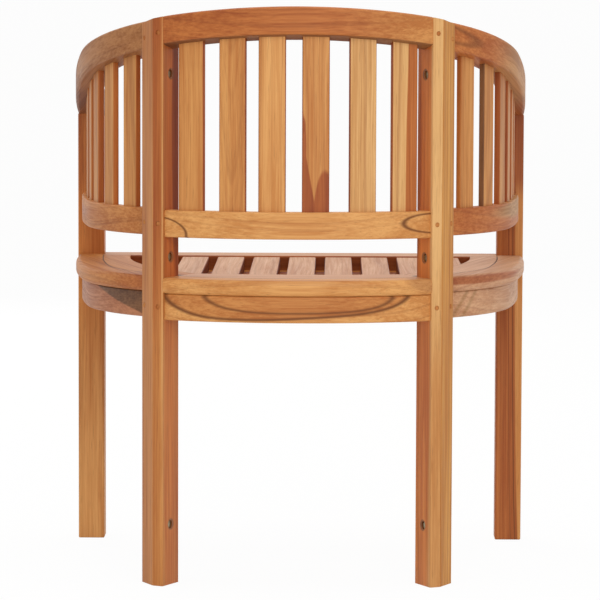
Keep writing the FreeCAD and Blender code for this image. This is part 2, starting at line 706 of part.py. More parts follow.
def arm_rails():
    inner, outer = half_each_way("size.arm_width")
    front_end = [(f"place.leg_joint_x + {edge}", "place.front_y") for edge in (outer, inner)]
    body = sloping_rail("arm_rail_left", side_band(inner, outer, front_end), arm_top, arm_under)
    tenon(body, "arm_tenon", SIDE_JOINT, "place.arm_joint", "size.side_tenon_length")
    peg_hole(body, "arm_peg", SIDE_PEG, "place.arm_joint")
    upper_mortises(body, SIDE_SLAT_NAMES, arm_under)
    half = "(size.front_leg_tenon / 2 + size.fit_gap)"
    socket = rectangle(f"-{half}", half, f"-{half}", half)
    at = ("place.leg_middle_x", "place.leg_middle_y", "place.leg_tenon_top + size.fit_gap", "0")
    pocket(body, plan(body, "arm_leg_socket", socket, at=at), "size.front_leg_tenon_height + size.cut_margin")
    keep_pair(body, "arm_rail")


# Level rails and aprons
def level_band(label, corners, low, height):
    body = new_body(label)
    pad(body, plan(body, label + "_plan", corners, at=("0", "0", low, "0")), height)
    long_edge = LONG * worth(height)
    round_edges(body, label + "_edges", "size.lower_rail_round", lambda edge: edge.Length > long_edge)
    return body


def back_band(label, kind, width, low, height):
    body = level_band(label, back_sector(*band_edges("size.back_radius", width)), low, height)
    for side, joint in (("left", BACK_JOINT), ("right", mirrored_joint(BACK_JOINT))):
        tenon(body, f"{label}_tenon_{side}", joint, RAIL_HEIGHTS[kind], "size.back_tenon_length")
        peg_hole(body, f"{label}_peg_{side}", BACK_PEG, RAIL_HEIGHTS[kind], mirror=side == "right")
    return body


def flank_band(label, kind, width, low, height):
    body = level_band(label, side_band(*half_each_way(width)), low, height)
    tenon(body, f"{label}_rear_tenon", SIDE_JOINT, RAIL_HEIGHTS[kind], "size.side_tenon_length")
    tenon(body, f"{label}_front_tenon", LEG_JOINT, RAIL_HEIGHTS[kind], "size.side_tenon_length")
    peg_hole(body, f"{label}_rear_peg", SIDE_PEG, RAIL_HEIGHTS[kind])
    peg_hole(body, f"{label}_front_peg", LEG_PEG, RAIL_HEIGHTS[kind])
    return body


def lower_rails():
    sizes = ("lower_rail", "size.lower_rail_width", "place.lower_rail_low", "size.lower_rail_height")
    middle = back_band("lower_rail_center", *sizes)
    lower_mortises(middle, BACK_SLAT_NAMES)
    keep(middle)
    flank = flank_band("lower_rail_left", *sizes)
    lower_mortises(flank, SIDE_SLAT_NAMES)
    keep_pair(flank, "lower_rail")


def aprons():
    sizes = ("apron", "size.apron_width", "place.apron_low", "size.apron_height")
    keep(back_band("apron_rear", *sizes))
    flank = flank_band("apron_left", *sizes)
    half = "(size.bearer_width / 2 + size.fit_gap)"
    for bearer in BEARERS:
        notch = rectangle("0", f"place.{bearer}_bearer_end + size.fit_gap", f"-{half}", half)
        at = ("0", f"place.{bearer}_bearer_y", "place.seat_under", "0")
        pocket(flank, plan(flank, f"apron_notch_{bearer}", notch, at=at), "size.bearer_height + size.fit_gap")
    keep_pair(flank, "apron")


def front_apron():
    body = new_body("apron_front")
    half = "size.front_apron_width / 2"
    shape = rectangle("-place.leg_inner_x", "place.leg_inner_x", f"place.front_apron_y - {half}",
                      f"place.front_apron_y + {half}")
    sketch = plan(body, "apron_front_plan", shape, at=("0", "0", "place.apron_low", "0"))
    pad(body, sketch, "size.apron_height")
    for side, joint in (("left", FRONT_APRON_JOINT), ("right", mirrored_joint(FRONT_APRON_JOINT))):
        tenon(body, f"apron_front_tenon_{side}", joint, "place.apron_joint", "size.side_tenon_length")
    keep(body)


# Legs
BACK_LEG_RAILS = ("place.top_rail_joint", "place.lower_rail_joint", "place.apron_joint")
SIDE_LEG_RAILS = ("place.arm_joint", "place.lower_rail_joint", "place.apron_joint")
BOLT_HEIGHTS = ("place.upper_bolt", "place.middle_bolt", "size.lower_bolt_height")
BOLT_PLACE = ("place.bolt_x", "place.bolt_y")
BOLT_HEADING = "(size.back_half_angle - 90)"


def rear_leg(label, corners, outer_corners, seam_corners):
    body = new_body(label)
    pad(body, plan(body, label + "_plan", corners), "size.overall_height + size.cut_margin")
    cut_above(body, post_top, "size.post_turn")
    round_edges(body, label + "_edges", "size.leg_round",
                lambda edge: is_upright(edge) and any(near_plan(edge, *corner) for corner in outer_corners))
    round_edges(body, label + "_seam", "size.seam_round",
                lambda edge: is_upright(edge) and any(near_plan(edge, *corner) for corner in seam_corners))
    return body


CORNER = ("place.corner_x", "place.corner_y")
INNER = ("place.inner_x", "place.inner_y")
SEAM = ("place.seam_x", "place.seam_y")
SEAM_END = ("place.seam_end_x", "place.seam_end_y")
OUTER = ("place.outer_x", "place.outer_y")
TIP = ("place.tip_x", "place.tip_y")


def back_legs():
    body = rear_leg("back_leg_left", [CORNER, INNER, SEAM_END, SEAM], (CORNER, INNER), (SEAM,))
    for number, height in enumerate(BACK_LEG_RAILS, start=1):
        mortise(body, f"back_leg_mortise_{number}", BACK_JOINT, height, "size.back_tenon_length")
        peg_hole(body, f"back_leg_peg_{number}", BACK_PEG, height)
    x, y = BOLT_PLACE
    for number, height in enumerate(BOLT_HEIGHTS, start=1):
        drill(body, f"back_leg_recess_{number}", x, y, height, BOLT_HEADING,
              "size.bolt_recess_diameter", "size.bolt_recess")
        drill(body, f"back_leg_bolt_{number}", x, y, height, BOLT_HEADING,
              "size.bolt_diameter + 2 * size.fit_gap", "size.back_leg_thickness + size.cut_margin")
    keep_pair(body, "back_leg")


def side_legs():
    body = rear_leg("side_leg_left", [SEAM, SEAM_END, TIP, OUTER], (OUTER, TIP), (SEAM,))
    for number, height in enumerate(SIDE_LEG_RAILS, start=1):
        mortise(body, f"side_leg_mortise_{number}", SIDE_JOINT, height, "size.side_tenon_length")
        peg_hole(body, f"side_leg_peg_{number}", SIDE_PEG, height)
    x, y = BOLT_PLACE
    bolt_end = "size.bolt_recess + size.bolt_length + size.fit_gap"
    insert_end = "size.back_leg_thickness + size.insert_length + size.fit_gap"
    for number, height in enumerate(BOLT_HEIGHTS, start=1):
        drill(body, f"side_leg_insert_{number}", x, y, height, BOLT_HEADING,
              "size.insert_diameter + 2 * size.fit_gap", insert_end)
        drill(body, f"side_leg_bolt_{number}", x, y, height, BOLT_HEADING,
              "size.bolt_diameter + 2 * size.fit_gap", bolt_end)
    keep_pair(body, "side_leg")


def front_legs():
    body = new_body("front_leg_left")
    shape = rectangle("place.leg_inner_x", "place.half_width", "place.leg_front_y", "place.leg_y")
    pad(body, plan(body, "front_leg_plan", shape), "size.overall_height + size.cut_margin")
    cut_above(body, arm_under)
    floor = worth("size.leg_round")
    round_edges(body, "front_leg_edges", "size.leg_round",
                lambda edge: is_upright(edge) or edge.CenterOfMass.z < floor)
    half = "size.front_leg_tenon / 2"
    root = "place.arm_under_leg - size.front_leg_tenon_height"
    at = ("place.leg_middle_x", "place.leg_middle_y", root, "0")
    stub = plan(body, "front_leg_tenon", rectangle(f"-{half}", half, f"-{half}", half), at=at)
    pad(body, stub, "2 * size.front_leg_tenon_height")
    for kind, height in RAIL_HEIGHTS.items():
        mortise(body, f"front_leg_{kind}", LEG_JOINT, height, "size.side_tenon_length")
        peg_hole(body, f"front_leg_{kind}_peg", LEG_PEG, height)
    mortise(body, "front_leg_front_apron", FRONT_APRON_JOINT, "place.apron_joint", "size.side_tenon_length")
    keep_pair(body, "front_leg")


# Seat
def seat_plate(label, corners):
    body = new_body(label)
    sketch = plan(body, label + "_plan", corners, at=("0", "0", "place.seat_under", "0"))
    pad(body, sketch, "size.seat_thickness")
    return body


def seat_borders():
    inner = "place.post_radius - size.border_width"
    rear = seat_plate("seat_border_rear", back_sector(inner, "place.post_radius"))
    round_edges(rear, "seat_border_rear_edges", "size.border_round",
                lambda edge: on_arc(edge, "0", "place.back_y", "place.post_radius"))
    keep(rear)
    outer = "size.arm_width / 2"
    flank = seat_plate("seat_border_left", side_band(f"{outer} - size.border_width", outer))
    round_edges(flank, "seat_border_edges", "size.border_round",
                lambda edge: on_arc(edge, "place.side_x", "place.side_y", "place.arm_radius")
                or on_arc(edge, "place.front_x", "place.leg_y", f"size.front_radius + {outer}"))
    keep_pair(flank, "seat_border")


def seat_frames():
    keep(seat_plate("seat_frame_rear", rear_frame_outline()))
    frame_start = side_point("place.frame_offset", "size.side_start_angle")
    frame_bend = side_point("place.frame_offset", "place.turn_end")
    flank = seat_plate("seat_frame_left", [
        ("place.frame_front_x", "place.front_rail_y", LEFT_TURN, "size.front_radius + place.frame_offset"),
        (*frame_bend, LEFT_TURN, "size.side_radius + place.frame_offset"),
        frame_start,
        TIP,
        SEAM_END,
        INNER,
        ("place.opening_x", "place.opening_y", RIGHT_TURN, "size.opening_side_radius"),
        ("place.frame_inner_x", "place.front_rail_y"),
    ])
    keep_pair(flank, "seat_frame")
    end = "place.front_rail_end"
    front = rectangle(f"-{end}", end, "place.leg_front_y", "place.front_rail_y")
    rail = seat_plate("seat_front_rail", front)
    long_edge = worth("place.leg_inner_x")
    round_edges(rail, "seat_front_rail_edges", "size.lower_rail_round",
                lambda edge: edge.Length > long_edge and edge.CenterOfMass.z > worth("place.slat_top"))
    keep(rail)


def rear_frame_outline():
    """Band behind the seat opening, between the posts."""
    left_end, right_end, _, _ = back_sector("place.opening_radius", "place.frame_radius")
    return [
        left_end,
        right_end,
        ("-place.opening_x", "place.opening_y", RIGHT_TURN, "size.opening_rear_radius"),
        ("place.opening_x", "place.opening_y"),
    ]


def seat_opening():
    """Space between the seat frames, less the gap at the ends of the slats."""
    gap = "size.seat_slat_end_gap"
    corner = f"(place.opening_radius - {gap})"
    corner_x = f"{corner} * sin(size.back_half_angle)"
    corner_y = f"place.back_y + {corner} * cos(size.back_half_angle)"
    side = f"(place.frame_inner_x - {gap})"
    side_radius = f"size.opening_side_radius - {gap}"
    front = f"place.front_rail_y + {gap}"
    return [
        (f"-{side}", front),
        (side, front, LEFT_TURN, side_radius),
        (corner_x, corner_y, LEFT_TURN, f"size.opening_rear_radius - {gap}"),
        (f"-{corner_x}", corner_y, LEFT_TURN, side_radius),
    ]


def slat_bearers(number):
    """Bearers that a seat slat reaches: the short outer ones stop before the rear bearer."""
    is_outer = number in (SEAT_SLATS[0], SEAT_SLATS[-1])
    return BEARERS[:2] if is_outer else BEARERS


def seat_slat_x(number):
    return f"({number - (len(SEAT_SLATS) + 1) / 2} * place.seat_slat_pitch - size.seat_slat_shift)"


def seat_slats():
    half = "size.seat_slat_width / 2"
    rounded = "size.slat_round"
    for number in SEAT_SLATS:
        name = f"seat_slat_{number}"
        body = new_body(name)
        put(body, seat_slat_x(number), "0", "place.seat_under")
        section = body.newObject("Sketcher::SketchObject", name + "_section")
        attach(section, body, "XZ_Plane", ("0", "0", "-place.rear_y", "0"), Vector(0, 0, 1))
        add_loop(section, [
            (f"-{half}", "0"),
            (half, "0"),
            (half, f"size.seat_slat_thickness - {rounded}", LEFT_TURN, rounded),
            (f"{half} - {rounded}", "size.seat_slat_thickness"),
            (f"-{half} + {rounded}", "size.seat_slat_thickness", LEFT_TURN, rounded),
            (f"-{half}", f"size.seat_slat_thickness - {rounded}"),
        ])
        pad(body, section, "place.rear_y - place.front_y")
        around = rectangle(f"-{ACROSS}", ACROSS, FRONT_END, REAR_END)
        trim = plan(body, name + "_ends", around, seat_opening(),
                    at=(f"-{seat_slat_x(number)}", "0", "size.seat_slat_thickness + size.cut_margin", "0"))
        pocket(body, trim, "size.seat_slat_thickness + 2 * size.cut_margin")
        for bearer in slat_bearers(number):
            hole = screw_hole(body, f"{name}_screw_{bearer}", "0", f"place.{bearer}_bearer_y", "0",
                              "size.screw_diameter")
            pocket(body, hole, "size.screw_length - size.bearer_height + size.fit_gap", upward=True)
        keep(body)


# Bearers and the screws that hold the seat slats from below
def screw_hole(body, name, x, y, z, diameter):
    sketch = body.newObject("Sketcher::SketchObject", name)
    attach(sketch, body, "XY_Plane", (x, y, z, "0"), Vector(0, 0, 1))
    bore = f"{diameter} + 2 * size.fit_gap"
    circle = sketch.addGeometry(Part.Circle(Vector(0, 0, 0), Vector(0, 0, 1), worth(bore) / 2))
    sketch.addConstraint(Sketcher.Constraint("Coincident", circle, 3, -1, 1))
    bind(sketch, Sketcher.Constraint("Diameter", circle, worth(bore)), bore)
    return sketch


def bearers():
    half = "size.bearer_width / 2"
    for bearer in BEARERS:
        name = f"seat_bearer_{bearer}"
        body = new_body(name)
        put(body, "0", f"place.{bearer}_bearer_y", "place.bearer_low")
        end = f"place.{bearer}_bearer_end"
        section = plan(body, name + "_plan", rectangle(f"-{end}", end, f"-{half}", half))
        pad(body, section, "size.bearer_height")
        for number in SEAT_SLATS:
            if bearer not in slat_bearers(number):
                continue
            x = seat_slat_x(number)
            bore = screw_hole(body, f"{name}_bore_{number}", x, "0", "0", "size.screw_diameter")
            pocket(body, bore, "size.bearer_height + size.cut_margin", upward=True)
            seat = screw_hole(body, f"{name}_head_{number}", x, "0", "0", "size.screw_head_diameter")
            pocket(body, seat, "size.screw_head_height", upward=True)
        keep(body)


def slat_screws():
    shank = "size.screw_diameter / 2"
    head = "size.screw_head_diameter / 2"
    screws = []
    for number in SEAT_SLATS:
        for bearer in slat_bearers(number):
            screw = turned(f"slat_screw_{number}_{bearer}", "XZ_Plane", "V_Axis", [
                ("0", "0"),
                (head, "0"),
                (head, "size.screw_head_height"),
                (shank, "size.screw_head_height"),
                (shank, "size.screw_length"),
                ("0", "size.screw_length"),
            ])
            put(screw, seat_slat_x(number), f"place.{bearer}_bearer_y", "place.bearer_low")
            screws.append(screw)
    group("slat_screws", screws)


# Fasteners of the frame
def with_twins(pieces):
    return pieces + [mirrored(piece, piece.Label + "_right") for piece in pieces]


def tenon_pegs():
    radius = "size.peg_diameter / 2"
    pegs = []
    families = (("back", BACK_PEG, BACK_LEG_RAILS), ("side", SIDE_PEG, SIDE_LEG_RAILS),
                ("leg", LEG_PEG, tuple(RAIL_HEIGHTS.values())))
    for family, (x, y, heading, face), heights in families:
        length = f"({face} - size.peg_recess + size.peg_reach)"
        root_x, root_y = along_heading(x, y, heading, "(-size.peg_reach)")
        for number, height in enumerate(heights, start=1):
            peg = turned(f"{family}_peg_{number}", "XY_Plane", "H_Axis",
                         [("0", "0"), (length, "0"), (length, radius), ("0", radius)])
            put(peg, root_x, root_y, height, f"90 - ({heading})")
            pegs.append(peg)
    group("tenon_pegs", with_twins(pegs))


def frame_bolts():
    x, y = BOLT_PLACE
    turn = BACK_JOINT[2]
    shank = "size.bolt_diameter / 2"
    head = "size.bolt_head_diameter / 2"
    head_start = "(size.bolt_recess - size.bolt_head_height)"
    bolt_end = "(size.bolt_recess + size.bolt_length)"
    insert = "size.insert_diameter / 2"
    bore = "(size.bolt_diameter / 2 + size.fit_gap)"
    insert_end = "(size.back_leg_thickness + size.insert_length)"
    bolts = []
    inserts = []
    for number, height in enumerate(BOLT_HEIGHTS, start=1):
        bolt = turned(f"frame_bolt_{number}", "XY_Plane", "H_Axis", [
            (head_start, "0"),
            (bolt_end, "0"),
            (bolt_end, shank),
            ("size.bolt_recess", shank),
            ("size.bolt_recess", head),
            (head_start, head),
        ])
        nut = turned(f"threaded_insert_{number}", "XY_Plane", "H_Axis", [
            ("size.back_leg_thickness", bore),
            (insert_end, bore),
            (insert_end, insert),
            ("size.back_leg_thickness", insert),
        ])
        for piece, pieces in ((bolt, bolts), (nut, inserts)):
            put(piece, x, y, height, turn)
            pieces.append(piece)
    group("frame_bolts", with_twins(bolts))
    group("threaded_inserts", with_twins(inserts))


def slats():
    for name in BACK_SLAT_NAMES:
        keep(slat(name, back_under))
    for number, name in enumerate(SIDE_SLAT_NAMES, start=1):
        body = slat(name, arm_under)
        body.Label = f"side_slat_left_{number}"
        keep(body)
        keep(mirrored(body, f"side_slat_right_{number}"))


top_rail()
arm_rails()
lower_rails()
aprons()
front_apron()
back_legs()
side_legs()
front_legs()
slats()
seat_borders()
seat_frames()
seat_slats()
bearers()
slat_screws()
tenon_pegs()
frame_bolts()
doc.recompute()

# Nothing is written unless every object and every shape is sound
for thing in doc.Objects:
    if "Invalid" in thing.State or "Error" in thing.State:
        raise RuntimeError(f"{thing.Label} did not compute: {thing.State}")
for node in nodes:
    if node.Shape.isNull() or not node.Shape.isValid():
        raise RuntimeError(f"{node.Label} has no sound shape")

os.makedirs("parts", exist_ok=True)
for node in nodes:
    node.Shape.exportStep(f"parts/{node.Label}.step")
print(f"{len(nodes)} nodes written")
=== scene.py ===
import math

import bpy
import numpy as np
from mathutils import Matrix, Vector

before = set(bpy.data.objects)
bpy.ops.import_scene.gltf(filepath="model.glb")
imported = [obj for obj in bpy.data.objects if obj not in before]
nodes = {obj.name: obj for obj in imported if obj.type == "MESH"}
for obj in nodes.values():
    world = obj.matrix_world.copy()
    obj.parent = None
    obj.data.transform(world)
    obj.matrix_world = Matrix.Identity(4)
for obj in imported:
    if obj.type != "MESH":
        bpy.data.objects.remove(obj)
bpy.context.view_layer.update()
bpy.ops.object.select_all(action="DESELECT")

MM = 0.001
UP = Vector((0, 0, 1))


# Colours and nodes
def paint(code):
    """sRGB hex value to the linear colour that a socket takes."""
    parts = [int(code[start:start + 2], 16) / 255 for start in (1, 3, 5)]
    return tuple(p / 12.92 if p <= 0.04045 else ((p + 0.055) / 1.055) ** 2.4 for p in parts) + (1.0,)


def add(tree, kind, sockets=(), **settings):
    """One node with its settings; each socket gets a value or a link."""
    node = tree.nodes.new("ShaderNode" + kind)
    for name, value in settings.items():
        setattr(node, name, value)
    for key, value in dict(sockets).items():
        if isinstance(value, bpy.types.NodeSocket):
            tree.links.new(value, node.inputs[key])
        else:
            node.inputs[key].default_value = value
    return node


def new_material(name):
    material = bpy.data.materials.new(name)
    material.use_nodes = True
    material.node_tree.nodes.clear()
    return material, material.node_tree


def dress(piece, material):
    for slot in piece.material_slots:
        slot.material = material


# Planks: every piece is sawn from a straight plank, so its grain runs straight through its curves
HALF_DEGREES = 180
SAME_AREA = 1e-9
FRONT_TO_BACK = 0.1


def forward(direction):
    """The same line, pointing to +X, or to +Y where it runs front to back."""
    key = direction.x if abs(direction.x) > FRONT_TO_BACK else direction.y
    return direction if key > 0 else -direction


def plank(piece, upright, slope):
    """Middle and turn of the plank, and half its plan length in mm.

    Its x runs along the grain, its y across it and its z through it.
    """
    points = np.array([vertex.co for vertex in piece.data.vertices])
    best = None
    for half_degree in range(HALF_DEGREES):
        angle = math.radians(half_degree / 2)
        axes = np.array([[math.cos(angle), math.sin(angle)], [-math.sin(angle), math.cos(angle)]])
        spots = points[:, :2] @ axes.T
        low, high = spots.min(0), spots.max(0)
        area = float(np.prod(high - low))
        if best is None or area < best[0] - SAME_AREA:
            best = (area, axes, low, high)
    _, axes, low, high = best
    height = (points[:, 2].min() + points[:, 2].max()) / 2
    middle = Vector((*(axes.T @ ((low + high) / 2)), height))
    longer = 0 if high[0] - low[0] >= high[1] - low[1] else 1
    run = forward(Vector((*axes[longer], 0)))
    if upright:
        along, across = UP, run
        through = along.cross(across)
    else:
        along = Vector((run.x, run.y, run.y * math.tan(slope))).normalized()
        through = along.cross(UP).normalized()
        across = through.cross(along)
    turn = Matrix((along, across, through)).transposed().to_euler("XYZ")
    return middle, turn, (high[longer] - low[longer]) / 2 / MM


# Teak: sanded and oiled, golden sapwood to brown heartwood, with wandering rings and open pores

# Light and dark of each plank's own colour
TONES = {
    "straw": ("#DBAA6E", "#C48D53"),
    "golden": ("#D99E5D", "#C17F41"),
    "honey": ("#CF9252", "#B57137"),
    "amber": ("#C68446", "#AA632C"),
    "flame": ("#D2803C", "#B4602A"),
    "russet": ("#C0753A", "#A35624"),
    "copper": ("#B86C32", "#9A4E1E"),
    "umber": ("#AC7444", "#8C5428"),
    "ember": ("#B85E22", "#96420F"),
    "heart": ("#AA5C28", "#8A401A"),
    "blush": ("#CFA07A", "#B9835C"),
    "rosy": ("#B87A54", "#9A5E3E"),
    "tan": ("#BC8C56", "#9C6E3E"),
    "smoke": ("#7E5434", "#583822"),
    "blaze": ("#E08C40", "#C26C2E"),
    "corn": ("#D09344", "#B67128"),
    "rust": ("#94461A", "#74320C"),
    "walnut": ("#8C5434", "#6C3E26"),
}
LINE_TONE = "#66350F"
OLIVE_TONE = "#85602C"
RING_TONE = "#A06C40"
PORE_TONE = "#6F431F"
SEAM_SHADE_TONE = "#4A2A17"

# Real sizes of the figure in mm, along and across the grain. Teak pores are 0.3 mm wide and are drawn
# four times coarser, so that they show at all
WANDER_SIZE = (260, 70)
CLOUD_SIZE = (380, 24)
STREAK_SIZE = (170, 2.6)
PORE_SIZE = (26, 1.2)
# Widths in mm of the painted shade in the seam and on the planks' side faces
SEAM_WIDTH = 2.0
SIDE_SHADE_DEPTH = 0.8

# The seam has one arc behind this place on the Y axis, and another in front of it
SEAM_TURN = -0.7

# Where in the noise the dark wood, rings, pores and dull streaks begin, and where they are full
BLEND_RANGE = (0.82, 1.18)
RING_RANGE = (0.5, 0.72)
PORE_RANGE = (0.6, 0.74)
STREAK_RANGE = (0.3, 0.7)

# How dark pores and the painted shade in seams get, how deep the pores lie in mm, and the sheen of sanded
# and oiled wood
PORE_DARK = 0.3
SEAM_SHADE_DARK = 0.95
PORE_SINK = -2.0
RELIEF_STRENGTH = 0.25
RELIEF_DEPTH = 0.25
GLOSS_RANGE = (0.44, 0.58)
TEAK_IOR = 1.5
OILED_SPECULAR = 0.3

# Which of the plank's axes count in a distance
ROUND_HEART = (0, 1, 1)
ALONG = (1, 0, 0)
LEVEL = (0, 1, 0)
THROUGH = (0, 0, 1)
FLAT = (1, 1, 0)


def figure(tree, wood, size, seed, detail):
    """Noise drawn out along the grain."""
    length, width = size
    drawn = add(tree, "Mapping", {"Vector": wood, "Scale": (1 / length, 1 / width, 1 / width)})
    return add(tree, "TexNoise", {"Vector": drawn.outputs[0], "W": seed, "Scale": 1.0, "Detail": detail,
                                  "Roughness": 0.6}, noise_dimensions="4D")


def reach(tree, wood, middle, weights, taper):
    """Distance in mm from a core along the weighted axes, growing along the grain by the taper."""
    off = add(tree, "VectorMath", {0: wood, 1: middle}, operation="SUBTRACT")
    flat = add(tree, "VectorMath", {0: off.outputs[0], 1: weights}, operation="MULTIPLY")
    length = add(tree, "VectorMath", {0: flat.outputs[0]}, operation="LENGTH")
    along = add(tree, "SeparateXYZ", {0: off.outputs[0]})
    lean = add(tree, "Math", {0: along.outputs[0], 1: taper, 2: length.outputs["Value"]},
               operation="MULTIPLY_ADD")
    return lean.outputs[0]


def inside(middle, radius, tone, soft=1.5, weights=ROUND_HEART, taper=0.0, strength=1.0, still=False):
    """Another colour up to a distance from a core; a still mark does not wander with the rings."""
    return {"middle": middle, "weights": weights, "taper": taper, "tone": tone, "line": None,
            "still": still, "edge": (radius - soft, radius + soft, strength, 0.0)}


def beyond(middle, radius, tone, soft=1.5, weights=ROUND_HEART, taper=0.0, strength=1.0, still=False):
    """The same from a distance on."""
    return {"middle": middle, "weights": weights, "taper": taper, "tone": tone, "line": None,
            "still": still, "edge": (radius - soft, radius + soft, 0.0, strength)}


def line(middle, radius, soft=1.5, weights=ROUND_HEART, taper=0.0, strength=0.8, colour=LINE_TONE):
    """One strong dark line at a distance from a core."""
    return {"middle": middle, "weights": weights, "taper": taper, "colour": colour, "line": radius,
            "still": False, "edge": (0.0, soft, strength, 0.0)}


def teak(name, upright, tone, seed, pith, pitch=7.0, ring=0.3, taper=0.0, wander=5.0, slope=0.0, marks=(),
         edge=None, seam=None):
    """Oiled teak on one piece: the tone, pith, rings and marks of its own plank."""
    piece = nodes[name]
    material, tree = new_material("oiled_teak_" + name)
    middle, turn, half = plank(piece, upright, slope)
    place = add(tree, "TexCoord").outputs["Object"]
    wood = add(tree, "Mapping", {"Vector": place, "Location": middle, "Rotation": turn,
                                 "Scale": (MM, MM, MM)}, vector_type="TEXTURE").outputs[0]

    # Rings wander along the plank
    drift = figure(tree, wood, WANDER_SIZE, seed, 1.0).outputs["Color"]
    centred = add(tree, "VectorMath", {0: drift, 1: (0.5, 0.5, 0.5)}, operation="SUBTRACT")
    swing = add(tree, "VectorMath", {0: centred.outputs[0], 1: (0, 2 * wander, 2 * wander)},
                operation="MULTIPLY")
    grain = add(tree, "VectorMath", {0: wood, 1: swing.outputs[0]}, operation="ADD").outputs[0]

    # Ground colour in clouds and streaks
    cloud = figure(tree, grain, CLOUD_SIZE, seed + 3.1, 2.0).outputs[0]
    streak = figure(tree, grain, STREAK_SIZE, seed + 5.7, 4.0).outputs[0]
    blend = add(tree, "Math", {0: cloud, 1: streak}, operation="ADD")
    share = add(tree, "MapRange", {0: blend.outputs[0], 1: BLEND_RANGE[0], 2: BLEND_RANGE[1]}).outputs[0]
    light, dark = (paint(code) for code in TONES[tone])
    colour = add(tree, "Mix", {0: share, 6: light, 7: dark}, data_type="RGBA").outputs[2]

    # Late wood of uneven years
    radius = reach(tree, grain, (0, *pith), ROUND_HEART, taper)
    year = add(tree, "Math", {0: radius, 1: 1 / pitch, 2: 10 * seed}, operation="MULTIPLY_ADD").outputs[0]
    growth = add(tree, "TexNoise", {"W": year, "Scale": 1.0, "Detail": 3.0, "Roughness": 0.65},
                 noise_dimensions="1D").outputs[0]
    rings = add(tree, "MapRange", {0: growth, 1: RING_RANGE[0], 2: RING_RANGE[1], 3: 0.0,
                                   4: ring}).outputs[0]
    colour = add(tree, "Mix", {0: rings, 6: colour, 7: paint(RING_TONE)}, data_type="RGBA",
                 blend_type="MULTIPLY").outputs[2]

    # Heartwood, sapwood and strong rings, and marks of painted shade and highlight; the edge tone is
    # painted shade on the plank's side faces
    if edge:
        side_shade = beyond((0, 0, 0), half - SIDE_SHADE_DEPTH, edge, soft=SIDE_SHADE_DEPTH / 2, weights=LEVEL, still=True)
        marks = (*marks, side_shade)
    for mark in marks:
        vector = wood if mark["still"] else grain
        distance = reach(tree, vector, mark["middle"], mark["weights"], mark["taper"])
        if mark["line"] is None:
            first, second = (paint(code) for code in TONES[mark["tone"]])
            other = add(tree, "Mix", {0: share, 6: first, 7: second}, data_type="RGBA").outputs[2]
        else:
            off = add(tree, "Math", {0: distance, 1: mark["line"]}, operation="SUBTRACT").outputs[0]
            distance = add(tree, "Math", {0: off}, operation="ABSOLUTE").outputs[0]
            other = paint(mark["colour"])
        near, far, at_near, at_far = mark["edge"]
        mask = add(tree, "MapRange", {0: distance, 1: near, 2: far, 3: at_near, 4: at_far},
                   interpolation_type="SMOOTHSTEP").outputs[0]
        colour = add(tree, "Mix", {0: mask, 6: colour, 7: other}, data_type="RGBA").outputs[2]

    # Painted shade in the seam around the seat frame
    if seam:
        plan = add(tree, "Mapping", {"Vector": place, "Scale": (1 / MM, 1 / MM, 1 / MM)}).outputs[0]
        row = add(tree, "SeparateXYZ", {0: plan}).outputs[1]
        rear, front = (add(tree, "Math", {0: reach(tree, plan, spot, FLAT, 0.0), 1: bend},
                           operation="SUBTRACT").outputs[0] for spot, bend in seam)
        ahead = add(tree, "Math", {0: row, 1: SEAM_TURN}, operation="LESS_THAN").outputs[0]
        rim = add(tree, "Mix", {0: ahead, 2: rear, 3: front}).outputs[0]
        mask = add(tree, "MapRange", {0: rim, 1: -SEAM_WIDTH, 2: -SEAM_WIDTH / 2, 3: 0.0,
                                      4: SEAM_SHADE_DARK}).outputs[0]
        colour = add(tree, "Mix", {0: mask, 6: colour, 7: paint(SEAM_SHADE_TONE)}, data_type="RGBA").outputs[2]

    # Open pores as short dark dashes
    pore = figure(tree, wood, PORE_SIZE, seed + 9.3, 1.0).outputs[0]
    pores = add(tree, "MapRange", {0: pore, 1: PORE_RANGE[0], 2: PORE_RANGE[1], 3: 0.0,
                                   4: PORE_DARK}).outputs[0]
    colour = add(tree, "Mix", {0: pores, 6: colour, 7: paint(PORE_TONE)}, data_type="RGBA").outputs[2]

    # Sanded smooth: pores lie a hair deeper, and dense streaks shine a little more
    relief = add(tree, "Math", {0: pores, 1: PORE_SINK, 2: streak}, operation="MULTIPLY_ADD").outputs[0]
    bump = add(tree, "Bump", {"Strength": RELIEF_STRENGTH, "Distance": RELIEF_DEPTH * MM,
                              "Height": relief}).outputs[0]
    gloss = add(tree, "MapRange", {0: streak, 1: STREAK_RANGE[0], 2: STREAK_RANGE[1],
                                   3: GLOSS_RANGE[0], 4: GLOSS_RANGE[1]}).outputs[0]
    skin = add(tree, "BsdfPrincipled", {"Base Color": colour, "Roughness": gloss, "Normal": bump,
                                        "IOR": TEAK_IOR, "Specular IOR Level": OILED_SPECULAR})
    add(tree, "OutputMaterial", {"Surface": skin.outputs[0]})
    dress(piece, material)


# Rails: the underside of the top rail is a slope, darkened with painted shade up to a very wide round
# below it
ARM_SLOPE = math.radians(14.45)
UNDERSIDE_SHADE = inside((0, -970.7, -309.0), 1001.0, "smoke", soft=0.6, strength=0.7, still=True)
teak("top_rail_center", False, "copper", 1.0, (-180, 30), pitch=6, marks=(
    inside((-200, 0, 0), 90, "honey", soft=70, weights=ALONG, strength=0.8),
    UNDERSIDE_SHADE))
# The darker walnut front ends of both arms are painted shade.
teak("arm_rail_left", False, "umber", 2.0, (170, -40), pitch=6, slope=ARM_SLOPE, marks=(
    inside((230, 0, 0), 190, "walnut", soft=40, weights=ALONG, strength=0.8),))
teak("arm_rail_right", False, "russet", 3.0, (170, -40), pitch=6, slope=ARM_SLOPE, marks=(
    inside((0, 0, 0), 120, "tan", soft=50, weights=ALONG, strength=0.7),
    line((262, 2, 0), 11, soft=4, weights=(0.16, 1, 0), strength=0.55),
    inside((-230, 0, 0), 150, "walnut", soft=40, weights=ALONG, strength=0.3)))
